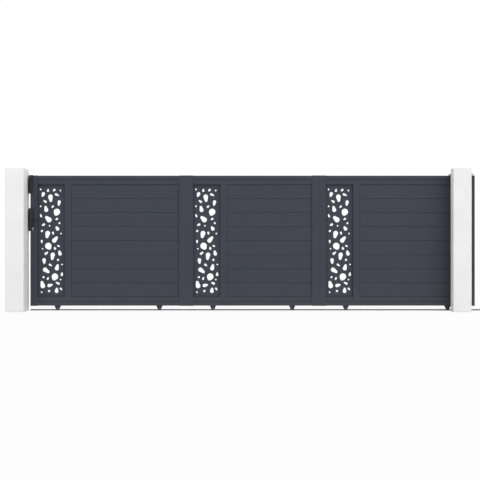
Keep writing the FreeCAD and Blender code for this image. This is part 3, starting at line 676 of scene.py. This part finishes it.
class GATE_OT_ground_rail(Operator):
    """Galvanise the ground rail and screw it down"""

    bl_idname = "gate.ground_rail"
    bl_label = "Ground rail"

    def execute(self, context):
        values = settings("hardware")
        for node in RAIL_NODES:
            dress(node, "rail_zinc")
            low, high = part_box(node)
            middle = (low.y + high.y) / 2
            pitch = (high.x - low.x - 2 * ANCHOR_END) / (ANCHOR_PAIRS - 1)
            shape = bmesh.new()
            for pair in range(ANCHOR_PAIRS):
                x = low.x + ANCHOR_END + pair * pitch
                for y in (middle - ANCHOR_SPREAD / 2, middle + ANCHOR_SPREAD / 2):
                    add_hex_screw(shape, (x, y, RAIL_PLATE), Z_AXIS, values.anchor_flats)
            piece_from(shape, node + "_anchors", ["screw_zinc"], "root")
        return {"FINISHED"}


def wheel_profile(radius, bead_axis, hub_half):
    """Half-round groove, rounded flanges, recessed web and proud hub, as (radius, along the axle)."""
    groove = BEAD_RADIUS + RUNNING_GAP
    half = WHEEL_WIDTH / 2
    lip = 0.0012
    web = -half + 0.0022
    hub_face = -hub_half + 0.0006
    open_angle = acos((bead_axis - radius) / groove)
    mouth = groove * sin(open_angle)
    run = []
    half_steps = 6
    for k in range(-half_steps, half_steps + 1):
        angle = -open_angle * k / half_steps
        run.append((bead_axis - groove * cos(angle), groove * sin(angle)))
    run[0] = (radius - lip * 0.3, mouth - lip * 0.1)
    run[-1] = (radius - lip * 0.3, -mouth + lip * 0.1)
    side = [(radius, -mouth - lip), (radius, -half + lip), (radius - lip, -half), (radius * 0.86, -half),
            (radius * 0.82, web), (HUB_RADIUS * 1.22, web), (HUB_RADIUS * 1.12, -half),
            (HUB_RADIUS, -half), (HUB_RADIUS, -hub_half), (HUB_RADIUS * 0.72, -hub_half),
            (HUB_RADIUS * 0.70, hub_face), (AXLE_BORE, hub_face)]
    return run + side + [(reach, -along) for reach, along in reversed(side)]


def rubbed_stretches(profile, bead_axis):
    """Numbers of the stretches of a wheel's profile that the bead rubs bright."""
    rubbed = []
    for k, (near, far) in enumerate(zip(profile, profile[1:] + profile[:1])):
        reach, along = (near[0] + far[0]) / 2, (near[1] + far[1]) / 2
        if abs(along) < BEAD_RADIUS * 0.99 and reach > bead_axis - BEAD_RADIUS * 1.5:
            rubbed.append(k)
    return rubbed


class GATE_OT_wheels(Operator):
    """Turn the six grooved wheels"""

    bl_idname = "gate.wheels"
    bl_label = "Wheels"

    def execute(self, context):
        steps = settings("hardware").turned_steps
        steels = ["turned_steel", "rubbed_steel"]
        rail_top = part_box(RAIL_NODES[0])[1].z
        for node in WHEELS:
            low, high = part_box(node)
            centre = (low + high) / 2
            bead_axis = centre.z - (rail_top - BEAD_RADIUS)
            profile = wheel_profile((high.z - low.z) / 2, bead_axis, (high.y - low.y) / 2)
            shape = bmesh.new()
            add_turned(shape, profile, turn_to(centre, Y_AXIS), steps, rubbed_stretches(profile, bead_axis))
            piece = piece_from(shape, node + "_turned", steels, node)
            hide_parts(node)
        return {"FINISHED"}


class GATE_OT_forks(Operator):
    """Finish the wheel forks, and put nuts on each axle and screws in each fork"""

    bl_idname = "gate.forks"
    bl_label = "Wheel forks"

    def execute(self, context):
        values = settings("hardware")
        soften_edges("wheel_forks", values.sheet_edge)
        dress("wheel_forks", "fork_coat")
        dress("wheel_axles", "screw_dark")
        nuts, screws = bmesh.new(), bmesh.new()
        rail_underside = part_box("bottom_rail_1")[0].z
        for node in WHEELS:
            low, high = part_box(node)
            centre = (low + high) / 2
            for side in (-1, 1):
                seat = turn_to((centre.x, centre.y + side * CHEEK_OUTSIDE, centre.z), Y_AXIS * side)
                add_washer(nuts, seat, AXLE_RADIUS, AXLE_RADIUS * 1.9, values.washer)
                add_hexagon(nuts, seat @ raised_by(values.washer), values.nut_flats, values.nut_flats / 3)
                place = (centre.x + side * values.fork_screw_reach, centre.y, rail_underside)
                add_dome_screw(screws, place, -Z_AXIS, values.fork_screw)
        piece_from(nuts, "axle_nuts", ["screw_dark"], "leaf")
        piece_from(screws, "fork_screws", ["screw_dark"], "leaf")
        return {"FINISHED"}


def roller_profile(round_off):
    """Roller with rounded rims and a shallow waist, as (radius, height above its foot)."""
    rim = ROLLER_RADIUS - round_off
    steps = 6
    profile = [(ROLLER_BORE, 0.0), (rim, 0.0)]
    for k in range(1, steps + 1):
        angle = pi / 2 * k / steps
        profile.append((rim + round_off * sin(angle), round_off - round_off * cos(angle)))
    profile.append((ROLLER_RADIUS - round_off * 0.06, ROLLER_HEIGHT * 0.35))
    return profile + [(reach, ROLLER_HEIGHT - height) for reach, height in reversed(profile)]


def add_roller_bolt(shape, seat, deck, head_top, values):
    """Bolt down through the guide plate and a roller: head on the plate, washer and nut below."""
    washer, flats = values.washer, values.bolt_flats
    nut = flats * 0.26
    chamfer = 0.0008
    under = turn_to((0, 0, -RUNNING_GAP), -Z_AXIS)
    for place, height in ((raised_by(deck), head_top - deck - washer), (under, nut)):
        add_washer(shape, seat @ place, ROLLER_SHANK, ROLLER_SHANK * 2, washer)
        add_hexagon(shape, seat @ place @ raised_by(washer), flats, height)
    end = -RUNNING_GAP - washer - nut - 0.0010
    core = ROLLER_SHANK * 0.1
    top = deck + washer / 2
    add_turned(shape, [(core, end), (ROLLER_SHANK - chamfer, end), (ROLLER_SHANK, end + chamfer),
                       (ROLLER_SHANK, top), (core, top)], seat, SHANK_STEPS)


class GATE_OT_top_guide(Operator):
    """Finish the top guide: nylon rollers, bolts and the bracket's anchors"""

    bl_idname = "gate.top_guide"
    bl_label = "Top guide"

    def execute(self, context):
        values = settings("hardware")
        for node in ("guide_bracket", "guide_plate"):
            soften_edges(node, values.sheet_edge)
            dress(node, "bracket_coat")
        low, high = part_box("guide_rollers")
        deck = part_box("guide_plate")[1].z
        head_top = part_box("guide_roller_bolts")[1].z
        rollers, bolts, anchors = bmesh.new(), bmesh.new(), bmesh.new()
        for y, foot in ((low.y + ROLLER_RADIUS, low.z), (high.y - ROLLER_RADIUS, high.z - ROLLER_HEIGHT)):
            for x in (low.x + ROLLER_RADIUS, high.x - ROLLER_RADIUS):
                seat = Matrix.Translation((x, y, foot))
                add_turned(rollers, roller_profile(values.roller_round), seat, values.turned_steps)
                add_roller_bolt(bolts, seat, deck - foot, head_top - foot, values)
        piece = piece_from(rollers, "guide_rollers_nylon", ["black_nylon"], "root")
        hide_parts("guide_rollers")
        piece = piece_from(bolts, "guide_bolt_set", ["screw_dark"], "root")
        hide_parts("guide_roller_bolts")
        low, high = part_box("guide_bracket")
        inset = values.bracket_inset
        for x in (low.x + inset, high.x - inset):
            for z in (low.z + inset / 2, low.z + inset * 3 / 2):
                add_hex_screw(anchors, (x, low.y + GUIDE_LEG, z), Y_AXIS, values.anchor_flats)
        piece_from(anchors, "guide_bracket_anchors", ["screw_zinc"], "root")
        return {"FINISHED"}


class GATE_OT_receivers(Operator):
    """Finish the closing receiver and the lock keeper, with their screws and the stop buffer"""

    bl_idname = "gate.receivers"
    bl_label = "Receivers"

    def execute(self, context):
        values = settings("hardware")
        pillar_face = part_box("left_pillar")[1].x
        screws, buffer = bmesh.new(), bmesh.new()
        for node, shares in RECEIVER_SCREWS.items():
            soften_edges(node, values.sheet_edge)
            dress(node, "bracket_coat")
            low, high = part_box(node)
            for share in shares:
                place = ((low.x + pillar_face) / 2, high.y, low.z + (high.z - low.z) * share)
                add_hex_screw(screws, place, Y_AXIS, values.flange_flats)
        piece_from(screws, "receiver_screws", ["screw_zinc"], "root")
        low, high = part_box("closing_receiver")
        leaf_low, leaf_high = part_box("stile_left_1")
        web = leaf_low.x - LEAF_TO_RECEIVER
        inset, depth = values.buffer_inset, values.buffer_depth
        add_block(buffer, (web, leaf_low.y + inset, low.z + inset),
                  (web + depth, leaf_high.y - inset, high.z - inset), depth / 3, 3)
        piece_from(buffer, "stop_buffer", ["black_rubber"], "root")
        return {"FINISHED"}


def rounded_outline(half_x, half_z, radius):
    """Points of a rectangle with round corners, centred on the origin."""
    steps = 8
    points = []
    for corner, (sx, sz) in enumerate(((1, 1), (-1, 1), (-1, -1), (1, -1))):
        for k in range(steps + 1):
            angle = pi / 2 * (corner + k / steps)
            points.append((sx * (half_x - radius) + radius * cos(angle),
                           sz * (half_z - radius) + radius * sin(angle)))
    return points


def add_plate(shape, centre, half, face, out, values):
    """Lock plate with round corners and a softened front edge, lying on a face that looks along Y."""
    edge = values.plate_edge
    levels = []
    for inset, rise in ((0.0, 0.0), (0.0, LOCK_PLATE - edge), (edge * 0.3, LOCK_PLATE - edge * 0.3),
                        (edge, LOCK_PLATE)):
        radius = max(values.plate_corner - inset, 0.0005)
        outline = rounded_outline(half.x - inset, half.z - inset, radius)
        levels.append([Vector((centre.x + x, face + out * rise, centre.z + z)) for x, z in outline])
    skin(shape, levels)


def rose_profile(radius):
    """Low ring round the neck of a lever, as (radius, height), let a little into the plate."""
    neck = radius * 0.56
    foot, top = -LOCK_PLATE / 3, LOCK_PLATE * 0.93
    return [(neck, foot), (radius, foot), (radius, LOCK_PLATE * 0.40), (radius * 0.95, LOCK_PLATE * 0.73),
            (radius * 0.80, top), (neck, top)]


def add_key_plug(shape, centre, out, radius, rise):
    """Turned plug on the cylinder's face, with a stepped keyway whose inside is painted black as painted
    shade in the slot.
    """
    matrix = turn_to(centre, Y_AXIS * out)
    face = radius * 0.55
    profile = [(face, -rise), (radius, -rise), (radius, rise * 0.6), (radius * 0.94, rise), (face, rise)]
    add_turned(shape, profile, matrix, PLUG_STEPS)
    rim = [shape.verts.new(point) for point in ring(matrix, PLUG_STEPS, face, rise)]
    mouth, floor = [
        [shape.verts.new(matrix @ Vector((x * radius, y * radius, height))) for x, y in KEYWAY]
        for height in (rise, rise * 0.15)]
    edges = [shape.edges.new(pair) for loop in (rim, mouth) for pair in zip(loop, loop[1:] + loop[:1])]
    bmesh.ops.triangle_fill(shape, use_beauty=True, use_dissolve=False, edges=edges)
    # The keyway's walls and floor take the black second finish: painted shade in the slot, not rubber.
    for k in range(len(mouth)):
        after = (k + 1) % len(mouth)
        shape.faces.new((mouth[k], mouth[after], floor[after], floor[k])).material_index = 1
    shape.faces.new(floor).material_index = 1


class GATE_OT_lock(Operator):
    """Finish the lock: plates, case, key cylinder and screws"""

    bl_idname = "gate.lock"
    bl_label = "Lock"

    def execute(self, context):
        values = settings("hardware")
        soften_edges("lock_case", values.sheet_edge)
        dress("lock_case", "screw_zinc")
        soften_edges("lock_cylinder", values.sheet_edge * 0.7)
        dress("lock_cylinder", "nickel_brass")
        plates_low, plates_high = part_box("lock_plates")
        stile_low, stile_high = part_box("stile_left_1")
        cylinder_low, cylinder_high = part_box("lock_cylinder")
        case_low, case_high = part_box("lock_case")
        lever_low, lever_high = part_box("lock_lever")
        centre = (plates_low + plates_high) / 2
        half = (plates_high - plates_low) / 2
        inset = values.lock_screw_inset
        plates, screws, face_screws, plugs = bmesh.new(), bmesh.new(), bmesh.new(), bmesh.new()
        for face, out, tip in ((stile_low.y, -1, cylinder_low.y), (stile_high.y, 1, cylinder_high.y)):
            front = face + out * LOCK_PLATE
            add_plate(plates, centre, half, face, out, values)
            rose = turn_to((centre.x, front, (lever_low.z + lever_high.z) / 2), Y_AXIS * out)
            add_turned(plates, rose_profile(values.rose), rose, ROSE_STEPS)
            for z in (cylinder_high.z + inset, plates_high.z - inset):
                add_dome_screw(screws, (centre.x, front, z), Y_AXIS * out, values.lock_screw)
            barrel = (centre.x, tip, cylinder_high.z - BARREL_RADIUS)
            add_key_plug(plugs, barrel, out, values.plug, values.plug_rise)
        for z in (case_low.z + inset, case_high.z - inset):
            add_dome_screw(face_screws, (case_low.x, centre.y, z), -X_AXIS, values.lock_screw * 0.8)
        piece = piece_from(plates, "lock_plate_pair", ["bracket_coat"], "leaf")
        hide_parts("lock_plates")
        piece_from(screws, "lock_screws", ["screw_dark"], "leaf")
        piece_from(face_screws, "face_plate_screws", ["screw_zinc"], "leaf")
        piece_from(plugs, "key_plugs", ["nickel_brass", "black_rubber"], "leaf")
        return {"FINISHED"}


def fuller(part):
    """A sine or cosine, drawn out so that the oval it makes has fuller corners."""
    return copysign(abs(part) ** 0.72, part)


def sweep(shape, path, sections):
    """Skin a row of oval sections, each (half width, half height), along a path that lies level."""
    rings = []
    for k, (point, (half_width, half_height)) in enumerate(zip(path, sections)):
        ahead = path[min(len(path) - 1, k + 1)] - path[max(0, k - 1)]
        across = ahead.normalized().cross(Z_AXIS)
        oval = []
        for step in range(OVAL_STEPS):
            angle = 2 * pi * step / OVAL_STEPS
            sideways = across * (fuller(cos(angle)) * half_width)
            oval.append(point + sideways + Z_AXIS * (fuller(sin(angle)) * half_height))
        rings.append(oval)
    skin(shape, rings)


def lever_run(pivot, root, far, out, tip, values):
    """Path of one handle out of its plate, round the elbow and along the leaf, with its sections."""
    neck, bar, elbow, end = values.lever_neck, values.lever_bar, values.lever_elbow, values.lever_round
    neck_steps, bend_steps, bar_steps = 4, 8, 12
    bends = [(k / bend_steps, pi / 2 * k / bend_steps) for k in range(1, bend_steps + 1)]
    bar_y = far - out * bar
    path, sections = [], []
    for k in range(neck_steps + 1):
        path.append(Vector((pivot.x, root + (bar_y - out * elbow - root) * k / neck_steps, pivot.z)))
        sections.append((neck, neck))
    for share, angle in bends:
        path.append(Vector((pivot.x + elbow * (1 - cos(angle)),
                            bar_y - out * elbow * (1 - sin(angle)), pivot.z)))
        sections.append((neck + (bar - neck) * share, neck))
    start = pivot.x + elbow
    reach = tip - start
    straight = reach - end
    stations = [straight * k / bar_steps for k in range(1, bar_steps + 1)]
    stations += [straight + end * sin(angle) for _, angle in bends]
    for along in stations:
        share = along / reach
        rounded = max(0.0, (along - straight) / end)
        scale = sqrt(max(0.02, 1 - rounded ** 2))
        dip = values.lever_dip * max(0.0, 2 * share - 1) ** 2
        path.append(Vector((start + along, bar_y - out * dip, pivot.z)))
        thinner = values.lever_taper * share
        sections.append(((bar - thinner) * scale, (neck - thinner) * scale))
    return path, sections


class GATE_OT_lever(Operator):
    """Shape the two lever handles"""

    bl_idname = "gate.lever"
    bl_label = "Lever handles"

    def execute(self, context):
        values = settings("hardware")
        low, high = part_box("lock_lever")
        stile_low, stile_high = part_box("stile_left_1")
        plates_low, plates_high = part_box("lock_plates")
        pivot = (plates_low + plates_high) / 2
        pivot.z = (low.z + high.z) / 2
        tip = high.x - values.edge
        shape = bmesh.new()
        for face, out, far in ((stile_low.y, -1, low.y), (stile_high.y, 1, high.y)):
            sweep(shape, *lever_run(pivot, face + out * LOCK_PLATE / 2, far, out, tip, values))
        corner = Vector((SPINDLE_SIDE / 2, (stile_high.y - stile_low.y) / 2, SPINDLE_SIDE / 2))
        add_block(shape, pivot - corner, pivot + corner, values.edge, 1)
        piece = piece_from(shape, "lever_pair", ["bracket_coat"], "lever")
        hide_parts("lock_lever")
        return {"FINISHED"}


# Stage

def add_sun(name, origin, strength, width):
    """Wide soft sun that shines the way that leads from origin to the left pillar's foot."""
    light = bpy.data.lights.new(name, "SUN")
    light.energy = strength
    light.angle = radians(width)
    lamp = bpy.data.objects.new(name, light)
    lamp.location = origin
    lamp.rotation_euler = (-Vector(origin)).to_track_quat("-Z", "Y").to_euler()
    bpy.context.scene.collection.objects.link(lamp)


def show_white(tree, plain, kind, end, glow):
    """Show the eye, also in reflections and through clear surfaces, white in place of a plain shader,
    by the share glow. The light that falls on things stays the plain shader's."""
    path = tree.nodes.new("ShaderNodeLightPath")
    seen = path.outputs["Is Camera Ray"]
    for ray in ("Is Glossy Ray", "Is Transmission Ray"):
        seen = calculate(tree, "MAXIMUM", seen, path.outputs[ray])
    share = calculate(tree, "MULTIPLY", seen, glow)
    white = add_node(tree, kind, {"Color": WHITE, "Strength": 1.0})
    mix = add_node(tree, "ShaderNodeMixShader", {0: share, 1: plain.outputs[0], 2: white.outputs[0]})
    set_sockets(tree, tree.nodes[end], {"Surface": mix.outputs[0]})


def add_camera(values):
    camera = bpy.data.cameras.new("photo_camera")
    camera.sensor_width = 36.0
    camera.lens = values.focal_length
    camera.clip_start = 0.1
    camera.clip_end = 400.0
    eye = bpy.data.objects.new("photo_camera", camera)
    eye.location = (values.camera_x, values.camera_y, values.camera_height)
    eye.rotation_euler = (radians(90.0), 0.0, 0.0)
    bpy.context.scene.collection.objects.link(eye)
    bpy.context.scene.camera = eye


def add_sky(strength):
    """Even light all round, in front of a white backdrop."""
    world = bpy.data.worlds.new("studio")
    world.use_nodes = True
    bpy.context.scene.world = world
    soft = world.node_tree.nodes["Background"]
    set_sockets(world.node_tree, soft, {"Color": (0.99, 0.99, 1.0, 1.0), "Strength": strength})
    show_white(world.node_tree, soft, "ShaderNodeBackground", "World Output", 1.0)


def add_floor(glow):
    """Pale floor that reads white to the eye and keeps a soft shadow."""
    shape = bmesh.new()
    bmesh.ops.create_grid(shape, x_segments=8, y_segments=8, size=60.0)
    mesh = bpy.data.meshes.new("studio_floor")
    shape.to_mesh(mesh)
    shape.free()
    tree, shader = new_material("studio_floor", (0.80, 0.80, 0.80))
    set_sockets(tree, shader, {"Roughness": 0.95, "Specular IOR Level": 0.0})
    show_white(tree, shader, "ShaderNodeEmission", "Material Output", glow)
    mesh.materials.append(bpy.data.materials["studio_floor"])
    floor = bpy.data.objects.new("studio_floor", mesh)
    floor.location = (2.4, 0.0, -0.0004)
    bpy.context.scene.collection.objects.link(floor)


class GATE_OT_stage(Operator):
    """Set the floor, the light and the camera"""

    bl_idname = "gate.stage"
    bl_label = "Stage"

    def execute(self, context):
        values = settings("stage")
        bpy.context.scene.view_settings.view_transform = "Standard"
        add_camera(values)
        add_sky(values.sky_strength)
        for name, (origin, strength, width) in SUNS.items():
            add_sun(name, origin, getattr(values, strength), width)
        add_floor(values.floor_glow)
        return {"FINISHED"}


class GATE_PT_looks(Panel):
    """Buttons that dress the gate and set its stage"""

    bl_idname = "GATE_PT_looks"
    bl_label = "Sliding gate"
    bl_space_type = "VIEW_3D"
    bl_region_type = "UI"
    bl_category = "Gate"

    def draw(self, context):
        layout = self.layout
        for group in GROUPS:
            box = layout.box()
            box.label(text=group.capitalize())
            values = settings(group)
            for name in values.bl_rna.properties.keys():
                if name not in ("rna_type", "name"):
                    box.prop(values, name)
        for operator in OPERATORS:
            layout.operator(operator.bl_idname)


GROUPS = {
    "finish": GateFinishSettings,
    "pillar": GatePillarSettings,
    "hardware": GateHardwareSettings,
    "stage": GateStageSettings,
}

OPERATORS = (
    GATE_OT_pillars,
    GATE_OT_leaf_profiles,
    GATE_OT_gaskets,
    GATE_OT_ground_rail,
    GATE_OT_wheels,
    GATE_OT_forks,
    GATE_OT_top_guide,
    GATE_OT_receivers,
    GATE_OT_lock,
    GATE_OT_lever,
    GATE_OT_stage,
)


def register():
    for name, group in GROUPS.items():
        bpy.utils.register_class(group)
        setattr(bpy.types.Scene, "gate_" + name, PointerProperty(type=group))
    for operator in OPERATORS:
        bpy.utils.register_class(operator)
    bpy.utils.register_class(GATE_PT_looks)


def unregister():
    bpy.utils.unregister_class(GATE_PT_looks)
    for operator in reversed(OPERATORS):
        bpy.utils.unregister_class(operator)
    for name, group in reversed(GROUPS.items()):
        delattr(bpy.types.Scene, "gate_" + name)
        bpy.utils.unregister_class(group)


def main():
    register()
    bpy.ops.gate.pillars()
    bpy.ops.gate.leaf_profiles()
    bpy.ops.gate.gaskets()
    bpy.ops.gate.ground_rail()
    bpy.ops.gate.wheels()
    bpy.ops.gate.forks()
    bpy.ops.gate.top_guide()
    bpy.ops.gate.receivers()
    bpy.ops.gate.lock()
    bpy.ops.gate.lever()
    bpy.ops.gate.stage()


if __name__ == "__main__":
    main()
